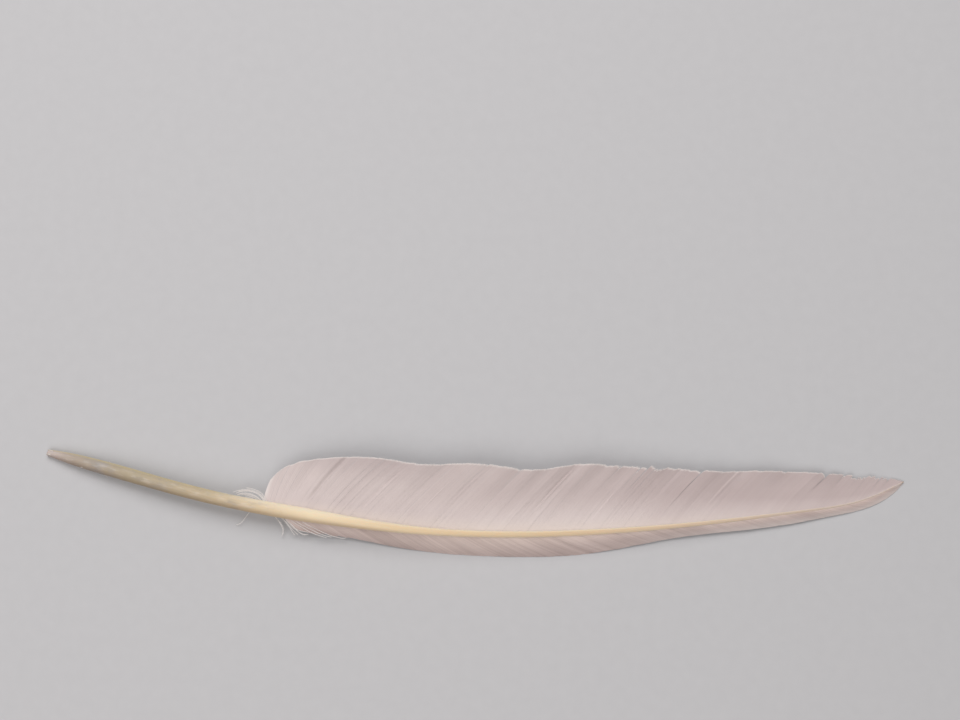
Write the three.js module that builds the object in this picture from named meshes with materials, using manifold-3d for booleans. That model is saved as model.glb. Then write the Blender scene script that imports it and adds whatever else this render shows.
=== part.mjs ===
// A goose quill feather: one moulted wing feather, lying upper side up on a table.
//
// The feather grew as one piece, so it is one solid: a shaft (the bare round quill, then the rachis that
// tapers to the tip), a broad vane on one side, a narrow vane on the other, and a few loose downy barbs
// where the vanes begin. Each vane is a thin curved sheet, parted into locks of barbs that lap like tiles.
//
// Millimetres, +Z up, the table at z = 0. +X runs along the feather from the quill's end to its tip, and
// +Y towards the broad vane. A "station" is a distance along X from the quill's end, and an "offset" is a
// distance in plan from the shaft's centreline, square to it.

import * as THREE from "three";
import Module from "manifold-3d";
import { mergeVertices } from "three/addons/utils/BufferGeometryUtils.js";

const wasm = await Module();
wasm.setup();

// ---- Driving dimensions -------------------------------------------------------------------------------

const LENGTH = 320;
const VANE_THICKNESS = 0.5;
const LAP = 0.3; // how far the near side of each lock stands over the lock before it

// The shaft's centreline in plan: [station, Y].
const SHAFT_SWEEP = [
  [0, 0],
  [27.5, -7.6],
  [60, -16.5],
  [98.4, -23.8],
  [135, -29.0],
  [173, -30.8],
  [212, -29.4],
  [251.5, -25.8],
  [285, -21.6],
  [305, -17.6],
  [LENGTH, -11.0],
];

// The height of the shaft's centreline over the table: a long low arch.
const SHAFT_ARCH = [
  [0, 1.2],
  [12, 2.1],
  [30, 3.7],
  [60, 5.3],
  [100, 6.3],
  [140, 6.2],
  [180, 5.5],
  [220, 4.6],
  [260, 3.3],
  [290, 2.0],
  [LENGTH, 0.5],
];

// The shaft's width across the top, and its depth.
const SHAFT_WIDTH = [
  [0, 2.3],
  [7, 3.8],
  [18, 4.9],
  [32, 5.15],
  [78, 5.15],
  [92, 5.3],
  [108, 4.6],
  [125, 3.55],
  [148, 2.65],
  [185, 2.25],
  [225, 1.8],
  [262, 1.3],
  [290, 0.85],
  [LENGTH, 0.4],
];
const SHAFT_DEPTH = [
  [0, 2.3],
  [7, 3.8],
  [18, 4.8],
  [32, 5.0],
  [80, 5.1],
  [108, 4.7],
  [140, 3.8],
  [185, 2.9],
  [225, 2.3],
  [262, 1.7],
  [290, 1.2],
  [LENGTH, 0.6],
];

// The broad (trailing) vane. Each barb is an arc that leaves the shaft at one angle and reaches the margin
// at another, in degrees from the shaft's own direction.
const BROAD = {
  side: 1,
  firstRoot: 81.6,
  lastRoot: 318.9,
  locks: 46,
  rows: 6,
  width: [
    [76, 6],
    [81.6, 10.6],
    [84.4, 14.2],
    [88.4, 17.6],
    [94.9, 20.4],
    [103, 22.5],
    [117.7, 24.9],
    [130, 24.9],
    [141, 24.8],
    [152.7, 25.9],
    [164.7, 25.8],
    [177, 24.4],
    [186, 24.0],
    [198.6, 25.4],
    [215.8, 24.0],
    [234.8, 22.2],
    [248, 19.4],
    [269.4, 16.9],
    [285, 14.4],
    [299, 11.6],
    [309.5, 8.0],
    [316, 4.4],
    [LENGTH, 0.3],
  ],
  leaves: [
    [81.6, 97],
    [90, 77],
    [105, 63],
    [130, 56],
    [200, 51],
    [260, 44],
    [300, 35],
    [LENGTH, 24],
  ],
  arrives: [
    [81.6, 76],
    [86, 66],
    [95, 51],
    [110, 43],
    [150, 39],
    [200, 39],
    [260, 34],
    [300, 27],
    [LENGTH, 18],
  ],
  // Height of the margin over the table, its upper face: the outer half of this vane lifts a little.
  margin: [
    [76, 5.6],
    [100, 7.6],
    [130, 8.8],
    [165, 9.4],
    [200, 8.6],
    [235, 6.6],
    [270, 4.3],
    [300, 2.2],
    [LENGTH, 0.9],
  ],
  rise: 1.9, // how late the surface turns from the shaft's height to the margin's
  trough: 0.9, // how far the surface dips in between
};

// The narrow (leading) vane, which droops to the table and carries the feather along its middle.
const NARROW = {
  side: -1,
  firstRoot: 87.5,
  lastRoot: 318.6,
  locks: 24,
  rows: 4,
  width: [
    [84, 4.4],
    [92, 5.7],
    [99, 6.3],
    [110, 6.0],
    [131.8, 6.8],
    [148, 7.6],
    [166, 8.0],
    [186, 8.3],
    [204, 7.6],
    [219.6, 5.9],
    [231, 4.6],
    [250, 4.1],
    [278, 4.1],
    [292, 3.35],
    [302, 3.3],
    [309, 3.25],
    [313.5, 2.65],
    [317, 1.65],
    [LENGTH, 0.3],
  ],
  leaves: [
    [87, 48],
    [95, 33],
    [120, 27],
    [200, 26],
    [300, 24],
    [LENGTH, 18],
  ],
  arrives: [
    [87, 36],
    [95, 26],
    [120, 21],
    [200, 20],
    [300, 17],
    [LENGTH, 12],
  ],
  margin: [
    [84, 4.6],
    [100, 3.0],
    [120, 1.6],
    [145, 0.45],
    [165, 0.4],
    [200, 0.45],
    [225, 1.2],
    [255, 1.7],
    [285, 1.1],
    [305, 0.7],
    [LENGTH, 0.45],
  ],
  rise: 1.35,
  trough: 0,
};

// Where the broad vane's margin is torn in: [station, how deep].
const TEARS = [
  [177, 0.5],
  [226, 1.2],
  [246, 0.9],
  [293, 1.3],
  [305.3, 0.5],
  [308.8, 0.4],
  [313.5, 1.0],
  [315.8, 0.8],
];

// Loose downy barbs, each a tapering curl through [station, Y, Z], thick at the shaft end.
const DOWN_ROOT_RADIUS = 0.4;
const DOWN_TIP_RADIUS = 0.16;
const DOWN = [
  [
    [83, -20.8, 6.2],
    [80, -15.6, 6.4],
    [75.3, -13.7, 5.6],
    [70.1, -14.9, 5.2],
  ],
  [
    [81, -20.4, 5.6],
    [77.5, -16.9, 5.9],
    [74, -15.7, 5.4],
    [71.3, -15.5, 4.8],
  ],
  [
    [77.5, -20.8, 4.6],
    [75.8, -23.2, 3.6],
    [72.4, -26.7, 2.2],
    [71, -27.0, 1.9],
  ],
  [
    [86, -22.8, 5.0],
    [88.3, -26.2, 4.2],
    [89.2, -28.7, 3.0],
    [88.3, -30.7, 2.2],
  ],
  [
    [88.5, -23.3, 5.2],
    [90.5, -27.1, 4.6],
    [93.3, -30.4, 3.4],
    [96.5, -31.3, 2.6],
  ],
];

// The small pit in the quill's end, where the growing feather was fed.
const PIT_RADIUS = 0.7;
const PIT_DEPTH = 2.5;

// ---- Curves -------------------------------------------------------------------------------------------

// A smooth curve y(x) through the points: a natural cubic spline.
function smooth(points) {
  const last = points.length - 1;
  const x = points.map((p) => p[0]);
  const y = points.map((p) => p[1]);
  const bend = new Array(points.length).fill(0);
  const carry = new Array(points.length).fill(0);
  for (let i = 1; i < last; i++) {
    const before = x[i] - x[i - 1];
    const after = x[i + 1] - x[i];
    const pivot = 2 * (before + after) - before * carry[i - 1];
    const turn = (y[i + 1] - y[i]) / after - (y[i] - y[i - 1]) / before;
    carry[i] = after / pivot;
    bend[i] = (6 * turn - before * bend[i - 1]) / pivot;
  }
  for (let i = last - 1; i > 0; i--) bend[i] -= carry[i] * bend[i + 1];
  return (at) => {
    const here = Math.min(Math.max(at, x[0]), x[last]);
    let i = 0;
    while (i < last - 1 && here > x[i + 1]) i++;
    const span = x[i + 1] - x[i];
    const a = (x[i + 1] - here) / span;
    const b = (here - x[i]) / span;
    const sag = ((a ** 3 - a) * bend[i] + (b ** 3 - b) * bend[i + 1]) * (span ** 2 / 6);
    return a * y[i] + b * y[i + 1] + sag;
  };
}

const sweep = smooth(SHAFT_SWEEP);
const arch = smooth(SHAFT_ARCH);
const shaftWidth = smooth(SHAFT_WIDTH);
const shaftDepth = smooth(SHAFT_DEPTH);

// The shaft's direction in plan, as an angle from +X. Both ends take the direction just inside them.
const HEADING_STEP = 0.5;
const heading = (station) => {
  const at = THREE.MathUtils.clamp(station, HEADING_STEP, LENGTH - HEADING_STEP);
  return Math.atan2(sweep(at + HEADING_STEP) - sweep(at - HEADING_STEP), 2 * HEADING_STEP);
};

// How deep the margin is torn in at a station: a narrow notch at each tear.
const TEAR_WIDTH = 1.4;
const torn = (station) =>
  TEARS.reduce((sum, [at, deep]) => sum + deep * Math.max(0, 1 - Math.abs(station - at) / TEAR_WIDTH), 0);

// A fixed scatter between -1 and 1 for whole numbers, so that no two locks are quite alike.
const scatter = (n) => {
  const wave = Math.sin(n * 12.9898 + 4.137) * 43758.5453;
  return 2 * (wave - Math.floor(wave)) - 1;
};

// ---- Closed surfaces ----------------------------------------------------------------------------------

// A closed solid from rings of points. Each ring has the same number of points, and both ends are capped.
function loft(rings) {
  const sides = rings[0].length;
  const points = rings.flat();
  const faces = [];
  const corner = (ring, side) => ring * sides + (side % sides);
  for (let ring = 0; ring + 1 < rings.length; ring++) {
    for (let side = 0; side < sides; side++) {
      const a = corner(ring, side);
      const b = corner(ring, side + 1);
      const c = corner(ring + 1, side + 1);
      const d = corner(ring + 1, side);
      faces.push(a, b, c, a, c, d);
    }
  }
  for (const [ring, turned] of [
    [0, true],
    [rings.length - 1, false],
  ]) {
    const middle = new THREE.Vector3();
    rings[ring].forEach((p) => middle.addScaledVector(p, 1 / sides));
    points.push(middle);
    for (let side = 0; side < sides; side++) {
      const a = corner(ring, side);
      const b = corner(ring, side + 1);
      faces.push(points.length - 1, turned ? b : a, turned ? a : b);
    }
  }
  const positions = new Float32Array(points.flatMap((p) => [p.x, p.y, p.z]));
  return new THREE.BufferGeometry().setAttribute("position", new THREE.BufferAttribute(positions, 3)).setIndex(faces);
}

// A geometry as a manifold-3d solid.
function solid(geometry) {
  const bare = geometry.clone();
  bare.deleteAttribute("normal");
  bare.deleteAttribute("uv");
  const merged = mergeVertices(bare, 1e-4);
  const mesh = new wasm.Mesh({
    numProp: 3,
    vertProperties: new Float32Array(merged.attributes.position.array),
    triVerts: new Uint32Array(merged.index.array),
  });
  return new wasm.Manifold(mesh);
}

// A manifold-3d solid as a geometry.
function geometryOf(body) {
  const mesh = body.getMesh();
  const positions = new Float32Array(mesh.numVert * 3);
  for (let i = 0; i < mesh.numVert; i++) {
    positions.set(mesh.vertProperties.subarray(i * mesh.numProp, i * mesh.numProp + 3), i * 3);
  }
  const geometry = new THREE.BufferGeometry();
  geometry.setAttribute("position", new THREE.BufferAttribute(positions, 3));
  geometry.setIndex(new THREE.BufferAttribute(new Uint32Array(mesh.triVerts), 1));
  return geometry;
}

// ---- The shaft ----------------------------------------------------------------------------------------

const SHAFT_SIDES = 14;
const SHAFT_STATIONS = 46;
const CLOSER_TO_QUILL_END = 1.15;
const SQUARE_FROM = 85; // between these stations the round quill turns into the squarer rachis
const SQUARE_TO = 140;
const SQUARENESS = 0.3;
const GROOVE_FROM = 100; // the station where the groove under the rachis begins
const GROOVE_TO = 290;
const GROOVE_FADE = 25;
const GROOVE_DEPTH = 0.16; // as a share of the shaft's depth
const LOWEST_CORNER = 0.95; // only a corner whose sine lies below minus this is lifted into the groove

// One ring of the shaft: round along the quill, then squarer, with a groove along its underside.
function shaftRing(station) {
  const wide = shaftWidth(station) / 2;
  const deep = shaftDepth(station) / 2;
  const turn = heading(station);
  const power = 1 - SQUARENESS * THREE.MathUtils.smoothstep(station, SQUARE_FROM, SQUARE_TO);
  const grooveIn = THREE.MathUtils.smoothstep(station, GROOVE_FROM, GROOVE_FROM + GROOVE_FADE);
  const grooveOut = 1 - THREE.MathUtils.smoothstep(station, GROOVE_TO - GROOVE_FADE, GROOVE_TO);
  const ring = [];
  for (let side = 0; side < SHAFT_SIDES; side++) {
    const angle = (2 * Math.PI * (side + 0.5)) / SHAFT_SIDES + Math.PI / SHAFT_SIDES + Math.PI / 2;
    const c = Math.cos(angle);
    const s = Math.sin(angle);
    const across = wide * Math.sign(c) * Math.abs(c) ** power;
    const atBottom = Math.max(0, -s - LOWEST_CORNER) / (1 - LOWEST_CORNER);
    const groove = 2 * deep * GROOVE_DEPTH * atBottom * grooveIn * grooveOut;
    const up = deep * Math.sign(s) * Math.abs(s) ** power + groove;
    ring.push(
      new THREE.Vector3(station - Math.sin(turn) * across, sweep(station) + Math.cos(turn) * across, arch(station) + up),
    );
  }
  return ring;
}

// Stations lie closer together towards the quill's end, where the shaft tapers fastest.
function shaft() {
  const rings = [];
  for (let i = 0; i <= SHAFT_STATIONS; i++) {
    rings.push(shaftRing(LENGTH * (i / SHAFT_STATIONS) ** CLOSER_TO_QUILL_END));
  }
  return solid(loft(rings));
}

function pit() {
  const cone = new THREE.ConeGeometry(PIT_RADIUS, 2 * PIT_DEPTH, 8);
  cone.rotateZ(-Math.PI / 2);
  cone.rotateZ(heading(0));
  cone.translate(0, sweep(0), arch(0));
  return solid(cone);
}

// ---- The vanes ----------------------------------------------------------------------------------------

function makeVane(facts) {
  return {
    ...facts,
    widthAt: smooth(facts.width),
    leavesAt: smooth(facts.leaves),
    arrivesAt: smooth(facts.arrives),
    marginAt: smooth(facts.margin),
  };
}

const FULL_WIDTH = 20; // a vane narrower than this dips less
const SHEET_TOP = 0.2; // the sheet's upper face at the shaft, over the centreline, in shares of the shaft's depth

// The height of a vane's upper face at a station, a share of the way out from the shaft to the margin.
function vaneHeight(vane, station, out) {
  const atShaft = arch(station) + SHEET_TOP * shaftDepth(station);
  const lift = (vane.marginAt(station) - atShaft) * out ** vane.rise;
  const dip = vane.trough * Math.min(1, vane.widthAt(station) / FULL_WIDTH);
  return atShaft + lift - dip * Math.sin(Math.PI * out);
}

// The station and offset that a barb has reached, a share of the way along it. Its length is found by
// halving, so that it ends on the margin.
const LONGEST_BARB = 80;
const SHORTEST_BARB = 0.4;
const HALVINGS = 40;

function barbPoint(vane, root, share, notch) {
  const from = THREE.MathUtils.degToRad(vane.leavesAt(root));
  const to = THREE.MathUtils.degToRad(vane.arrivesAt(root));
  const run = (v) => (Math.sin(from + (to - from) * v) - Math.sin(from)) / (to - from);
  const rise = (v) => (Math.cos(from) - Math.cos(from + (to - from) * v)) / (to - from);
  const margin = (station) => vane.widthAt(station) - (vane.side > 0 ? torn(station) : 0);
  let short = 0;
  let long = LONGEST_BARB;
  for (let i = 0; i < HALVINGS; i++) {
    const middle = (short + long) / 2;
    if (rise(1) * middle < margin(root + run(1) * middle)) short = middle;
    else long = middle;
  }
  const length = Math.max(short - notch, SHORTEST_BARB);
  return { station: Math.min(root + run(share) * length, LENGTH), offset: rise(share) * length };
}

// A point on a vane's upper face.
function vanePoint(vane, root, share, notch, lift) {
  const { station, offset } = barbPoint(vane, root, share, notch);
  const turn = heading(station);
  const out = Math.min(offset / vane.widthAt(station), 1);
  const across = vane.side * offset;
  return new THREE.Vector3(
    station - Math.sin(turn) * across,
    sweep(station) + Math.cos(turn) * across,
    vaneHeight(vane, station, out) + lift * share,
  );
}

// One vane: a sheet of locks. Each lock has a barb at its near side, its middle and its far side.
const LOCK_SHARES = [0.04, 0.5, 0.96];
const LOCK_NOTCH = 0.45; // how much shorter the barbs at a lock's sides are than the one in its middle
const LOCK_SCATTER = 0.3; // how unequal the locks are in width
const LOCKS_CLOSER = 0.06; // how far the locks crowd towards both ends of a vane
const CALM_WIDTH = 8; // where a vane is narrower than this, its notches and laps are smaller

function vaneSheet(vane) {
  const edge = (lock) => {
    const inner = lock > 0 && lock < vane.locks;
    const share = (lock + (inner ? LOCK_SCATTER * scatter(lock * vane.side + 60) : 0)) / vane.locks;
    const crowded = share - LOCKS_CLOSER * Math.sin(2 * Math.PI * share);
    return vane.firstRoot + (vane.lastRoot - vane.firstRoot) * crowded;
  };
  const rings = [];
  for (let lock = 0; lock < vane.locks; lock++) {
    for (const share of LOCK_SHARES) {
      const root = edge(lock) + (edge(lock + 1) - edge(lock)) * share;
      const aside = Math.abs(2 * share - 1);
      const size = Math.min(1, vane.widthAt(root) / CALM_WIDTH);
      const notch = LOCK_NOTCH * size * aside * (1 + 0.6 * scatter(lock + 7));
      const lift = LAP * size * (0.5 - share) * (1 + 0.5 * scatter(lock + 31));
      const upper = [];
      for (let row = 0; row <= vane.rows; row++) {
        upper.push(vanePoint(vane, root, row / vane.rows, notch, lift));
      }
      const lower = upper.map((p) => new THREE.Vector3(p.x, p.y, p.z - VANE_THICKNESS)).reverse();
      const ring = [...upper, ...lower];
      rings.push(vane.side > 0 ? ring.reverse() : ring);
    }
  }
  return solid(loft(rings));
}

// ---- Loose down ---------------------------------------------------------------------------------------

const DOWN_SIDES = 5;
const DOWN_STEPS = 7;

function downBarb(points) {
  const curve = new THREE.CatmullRomCurve3(points.map((p) => new THREE.Vector3(...p)));
  const frames = curve.computeFrenetFrames(DOWN_STEPS);
  const rings = [];
  for (let step = 0; step <= DOWN_STEPS; step++) {
    const share = step / DOWN_STEPS;
    const radius = DOWN_ROOT_RADIUS + (DOWN_TIP_RADIUS - DOWN_ROOT_RADIUS) * share;
    const centre = curve.getPointAt(share);
    const ring = [];
    for (let side = 0; side < DOWN_SIDES; side++) {
      const angle = (2 * Math.PI * side) / DOWN_SIDES;
      const point = centre.clone();
      point.addScaledVector(frames.normals[step], radius * Math.cos(angle));
      point.addScaledVector(frames.binormals[step], radius * Math.sin(angle));
      ring.push(point);
    }
    rings.push(ring);
  }
  return solid(loft(rings));
}

// ---- The whole feather --------------------------------------------------------------------------------

// Everything is one growth, joined, and then worn flat where it lies on the table.
function wholeFeather() {
  let body = shaft();
  body = body.subtract(pit());
  body = body.add(vaneSheet(makeVane(BROAD)));
  body = body.add(vaneSheet(makeVane(NARROW)));
  for (const points of DOWN) body = body.add(downBarb(points));
  const table = new THREE.BoxGeometry(2 * LENGTH, LENGTH, 20);
  table.translate(LENGTH / 2, 0, -10);
  return geometryOf(body.subtract(solid(table)));
}

const geometry = wholeFeather();
geometry.computeBoundingBox();
const middle = geometry.boundingBox.getCenter(new THREE.Vector3());

const white = new THREE.MeshStandardMaterial({ color: 0xe6dcda, roughness: 0.7, metalness: 0 });
const feather = new THREE.Mesh(geometry, white);
feather.name = "feather";

// The origin is on the table, in the middle of the feather's length and width.
feather.position.set(-middle.x, -middle.y, 0);

const part = new THREE.Group();
part.add(feather);

export default part;
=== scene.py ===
# %% [markdown]
# # A goose quill feather
#
# A wing feather of a goose, moulted and lying on a table with its upper side up. It has a shaft, which is a
# bare round quill at one end and a tapering rachis at the other, and a vane on each side of the rachis.
# A vane is not a sheet: it is some hundreds of barbs, each a fine blade with a ridge along it, that hook on
# to each other. So this scene makes the barbs, one by one, and the sheet appears by itself.
#
# The solid model of the feather is already there, as the frame. Everything here is fitted to it, in metres.

# %% The frame
import math

import bpy
import numpy as np
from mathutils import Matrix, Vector


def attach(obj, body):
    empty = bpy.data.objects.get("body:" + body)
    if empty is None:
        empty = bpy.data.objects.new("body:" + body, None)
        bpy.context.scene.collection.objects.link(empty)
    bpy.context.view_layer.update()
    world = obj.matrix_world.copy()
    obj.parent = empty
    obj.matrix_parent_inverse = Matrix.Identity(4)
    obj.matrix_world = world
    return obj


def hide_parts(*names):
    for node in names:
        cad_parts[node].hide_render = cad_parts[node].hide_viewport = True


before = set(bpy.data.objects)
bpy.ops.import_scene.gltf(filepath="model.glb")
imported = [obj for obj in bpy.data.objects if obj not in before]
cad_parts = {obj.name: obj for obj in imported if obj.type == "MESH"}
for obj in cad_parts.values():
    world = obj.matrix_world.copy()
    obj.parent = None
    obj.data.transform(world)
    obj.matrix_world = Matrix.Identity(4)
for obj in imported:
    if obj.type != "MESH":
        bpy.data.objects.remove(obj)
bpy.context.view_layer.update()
MM = 0.001

# %% [markdown]
# ## Smooth curves from a few points
#
# A feather's outline is a handful of numbers: where the shaft runs, how thick it is, how wide each vane is.
# Between those numbers everything is smooth, so each list of points becomes a natural cubic spline, the
# curve that a thin springy strip would take if it were pinned at the points. All lists are in millimetres.
# A "station" is the distance along the feather from the quill's end, and an "offset" is the distance from
# the shaft's centreline, seen from above.


# %% Splines
def smooth(points):
    """A natural cubic spline through the points, as a function that takes numbers or arrays."""
    x, y = np.array(points, float).T
    gap = np.diff(x)
    slope = np.diff(y) / gap
    system = np.eye(len(x))
    turn = np.zeros(len(x))
    for i in range(1, len(x) - 1):
        system[i, i - 1 : i + 2] = gap[i - 1], 2 * (gap[i - 1] + gap[i]), gap[i]
        turn[i] = 6 * (slope[i] - slope[i - 1])
    bend = np.linalg.solve(system, turn)

    def at(where):
        where = np.clip(where, x[0], x[-1])
        i = np.clip(np.searchsorted(x, where) - 1, 0, len(x) - 2)
        a = (x[i + 1] - where) / gap[i]
        b = 1 - a
        sag = ((a**3 - a) * bend[i] + (b**3 - b) * bend[i + 1]) * gap[i] ** 2 / 6
        return a * y[i] + b * y[i + 1] + sag

    return at


def smoothstep(value, low, high):
    """0 below low, 1 above high, and a soft step between."""
    share = np.clip((value - low) / (high - low), 0, 1)
    return share * share * (3 - 2 * share)


# %% [markdown]
# ## The shaft's run
#
# Four curves describe the shaft: where its centreline runs in plan, how high that line stands over the
# table, and the shaft's width and depth. The same four are in the solid model. The feather's own stations
# start at the quill's end, and the solid tells where in the frame that end is: it is the middle of the
# solid's first ring of corners.

# %% The shaft's curves
LENGTH = 320

sweep = smooth(
    [(0, 0), (27.5, -7.6), (60, -16.5), (98.4, -23.8), (135, -29.0), (173, -30.8), (212, -29.4)]
    + [(251.5, -25.8), (285, -21.6), (305, -17.6), (LENGTH, -11.0)]
)
arch = smooth(
    [(0, 1.2), (12, 2.1), (30, 3.7), (60, 5.3), (100, 6.3), (140, 6.2), (180, 5.5), (220, 4.6)]
    + [(260, 3.3), (290, 2.0), (LENGTH, 0.5)]
)
shaft_width = smooth(
    [(0, 2.3), (7, 3.8), (18, 4.9), (32, 5.15), (78, 5.15), (92, 5.3), (108, 4.6), (125, 3.55)]
    + [(148, 2.65), (185, 2.25), (225, 1.8), (262, 1.3), (290, 0.85), (LENGTH, 0.4)]
)
shaft_depth = smooth(
    [(0, 2.3), (7, 3.8), (18, 4.8), (32, 5.0), (80, 5.1), (108, 4.7), (140, 3.8), (185, 2.9)]
    + [(225, 2.3), (262, 1.7), (290, 1.2), (LENGTH, 0.6)]
)

HEADING_STEP = 0.5


def heading(station):
    """The shaft's direction in plan, as an angle from +X. Both ends take the direction just inside them."""
    at = np.clip(station, HEADING_STEP, LENGTH - HEADING_STEP)
    return np.arctan2(sweep(at + HEADING_STEP) - sweep(at - HEADING_STEP), 2 * HEADING_STEP)


END_SLICE = 0.7  # thinner than the gap between the solid's first two rings
corners = np.array([v.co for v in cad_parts["feather"].data.vertices]) / MM
end_ring = corners[corners[:, 0] < corners[:, 0].min() + END_SLICE]
quill_end = (end_ring.min(0) + end_ring.max(0)) / 2 * [1, 1, 0]
print("the quill's end is at", quill_end.round(2), "mm in the frame")


def beside_shaft(station, across, height):
    """Points in mm at a station, so far to the +Y side of the shaft's centreline, at a height."""
    turn = heading(station)
    x = station - np.sin(turn) * across
    y = sweep(station) + np.cos(turn) * across
    return np.stack(np.broadcast_arrays(x, y, height), -1)


def new_object(name, data):
    """An object with this data, in the scene."""
    made = bpy.data.objects.new(name, data)
    bpy.context.scene.collection.objects.link(made)
    return made


def new_piece(name, points, faces):
    """An object whose mesh has these points, in the feather's own mm, and these faces."""
    mesh = bpy.data.meshes.new(name)
    mesh.from_pydata(((np.asarray(points).reshape(-1, 3) + quill_end) * MM).tolist(), [], faces)
    return new_object(name, mesh)


# %% [markdown]
# ## Writing node trees
#
# Materials and Geometry Nodes are both trees of nodes. Two small helpers keep them readable. A `Wire` is the
# output of a node, and sums on it add Math nodes to the tree, so that a mask can be written as a formula.
# `Tree.node` makes any other node: its settings first, then the numbers or wires of its inputs.


# %% Wires and trees
class Wire:
    """A node's output that can be used in sums."""

    def __init__(self, tree, socket):
        self.tree = tree
        self.socket = socket

    def math(self, operation, *values):
        """A Math node with this wire as its first value."""
        return self.tree.node("ShaderNodeMath", {"operation": operation}, dict(enumerate((self, *values))))

    def __add__(self, other):
        return self.math("ADD", other)

    def __sub__(self, other):
        return self.math("SUBTRACT", other)

    def __rsub__(self, other):
        return (self * -1) + other

    def __mul__(self, other):
        return self.math("MULTIPLY", other)

    def __truediv__(self, other):
        return self.math("DIVIDE", other)

    __radd__ = __add__
    __rmul__ = __mul__

    def step(self, low, high):
        """0 below low, 1 above high, and a soft step between. Low may be the larger of the two."""
        inputs = {0: self, 1: low, 2: high, 3: 0.0, 4: 1.0}
        return self.tree.node("ShaderNodeMapRange", {"interpolation_type": "SMOOTHSTEP"}, inputs)


class Tree:
    """A node tree that is written node by node."""

    def __init__(self, tree):
        self.tree = tree

    def node(self, kind, settings=None, inputs=None, output=0):
        made = self.tree.nodes.new(kind)
        for name, value in (settings or {}).items():
            if name == "stops":
                self.set_stops(made.color_ramp, value)
            else:
                setattr(made, name, value)
        for name, value in (inputs or {}).items():
            if isinstance(value, Wire):
                self.tree.links.new(value.socket, made.inputs[name])
            else:
                made.inputs[name].default_value = value
        return Wire(self, made.outputs[output]) if len(made.outputs) else made

    def set_stops(self, ramp, stops):
        while len(ramp.elements) < len(stops):
            ramp.elements.new(1)
        for element, (place, colour) in zip(ramp.elements, stops):
            element.position = place
            element.color = (*colour, 1)

    def other(self, wire, output):
        """Another output of the node that a wire comes from."""
        return Wire(self, wire.socket.node.outputs[output])

    def mix(self, factor, first, second, blend="MIX"):
        """Colours, mixed by a number or a wire from 0 to 1."""
        settings = {"data_type": "RGBA", "clamp_factor": True, "blend_type": blend}
        first, second = (c if isinstance(c, Wire) else (*c, 1) for c in (first, second))
        return self.node("ShaderNodeMix", settings, {0: factor, 6: first, 7: second}, output=2)

    def noise(self, vector, scale, detail, roughness=0.5):
        """A soft random pattern around 0.5."""
        inputs = {"Vector": vector, "Scale": scale, "Detail": detail, "Roughness": roughness}
        return self.node("ShaderNodeTexNoise", {}, inputs)


# %% [markdown]
# ## How a barb runs
#
# A barb bends towards the feather's tip, so that it meets the margin at a smaller angle than it leaves the
# shaft. Seen from above that is very nearly an arc of a circle. Where the arc is to end is not known before
# it is drawn, because the margin's offset depends on the station: halving an interval thirty times finds
# the length that ends on the margin, for all barbs at once.
#
# The broad vane's margin is lifted from the table and the narrow vane droops on to it.

# %% The two vanes
# width and margin: the margin's offset and its height over the table, at each station
# leaves and arrives: a barb's angle to the shaft at its root and at its tip, in degrees
# rise and trough: the power by which the vane lifts or droops outwards, and its dip halfway out
# tears: the station and depth of each. worn: a station, how far the wear reaches, and how much raggeder it is
BROAD = {
    "side": 1,
    "first": 81.6,
    "last": 318.9,
    "locks": 46,
    "width": smooth(
        [(76, 6), (81.6, 10.6), (84.4, 14.2), (88.4, 17.6), (94.9, 20.4), (103, 22.5), (117.7, 24.9)]
        + [(130, 24.9), (141, 24.8), (152.7, 25.9), (164.7, 25.8), (177, 24.4), (186, 24.0), (198.6, 25.4)]
        + [(215.8, 24.0), (234.8, 22.2), (248, 19.4), (269.4, 16.9), (285, 14.4), (299, 11.6), (309.5, 8.0)]
        + [(316, 4.4), (LENGTH, 0.3)]
    ),
    "leaves": smooth(
        [(81.6, 97), (90, 77), (105, 63), (130, 56), (200, 51), (260, 44), (300, 35), (LENGTH, 24)]
    ),
    "arrives": smooth(
        [(81.6, 76), (86, 66), (95, 51), (110, 43), (150, 39), (200, 39), (260, 34), (300, 27), (LENGTH, 18)]
    ),
    "margin": smooth(
        [(76, 5.6), (100, 7.6), (130, 8.8), (165, 9.4), (200, 8.6), (235, 6.6), (270, 4.3), (300, 2.2)]
        + [(LENGTH, 0.9)]
    ),
    "rise": 1.9,
    "trough": 0.9,
    "tears": [(177, 0.5), (226, 1.2), (246, 0.9), (293, 1.3)]
    + [(305.3, 0.5), (308.8, 0.4), (313.5, 1.0), (315.8, 0.8)],
    "worn": [(205, 24, 4.2), (300, 30, 2.4)],
}
NARROW = {
    "side": -1,
    "first": 87.5,
    "last": 318.6,
    "locks": 24,
    "width": smooth(
        [(84, 4.4), (92, 5.7), (99, 6.3), (110, 6.0), (131.8, 6.8), (148, 7.6), (166, 8.0), (186, 8.3)]
        + [(204, 7.6), (219.6, 5.9), (231, 4.6), (250, 4.1), (278, 4.1), (292, 3.35), (302, 3.3), (309, 3.25)]
        + [(313.5, 2.65), (317, 1.65), (LENGTH, 0.3)]
    ),
    "leaves": smooth([(87, 48), (95, 33), (120, 27), (200, 26), (300, 24), (LENGTH, 18)]),
    "arrives": smooth([(87, 36), (95, 26), (120, 21), (200, 20), (300, 17), (LENGTH, 12)]),
    "margin": smooth(
        [(84, 4.6), (100, 3.0), (120, 1.6), (145, 0.45), (165, 0.4), (200, 0.45), (225, 1.2), (255, 1.7)]
        + [(285, 1.1), (305, 0.7), (LENGTH, 0.45)]
    ),
    "rise": 1.35,
    "trough": 0,
    "tears": [],
    "worn": [(100, 15, 2.0), (300, 20, 0.6)],
}
for name, vane in [("broad", BROAD), ("narrow", NARROW)]:
    print("the", name, "vane is at most", vane["width"](np.arange(LENGTH)).max().round(1), "mm wide")

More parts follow.
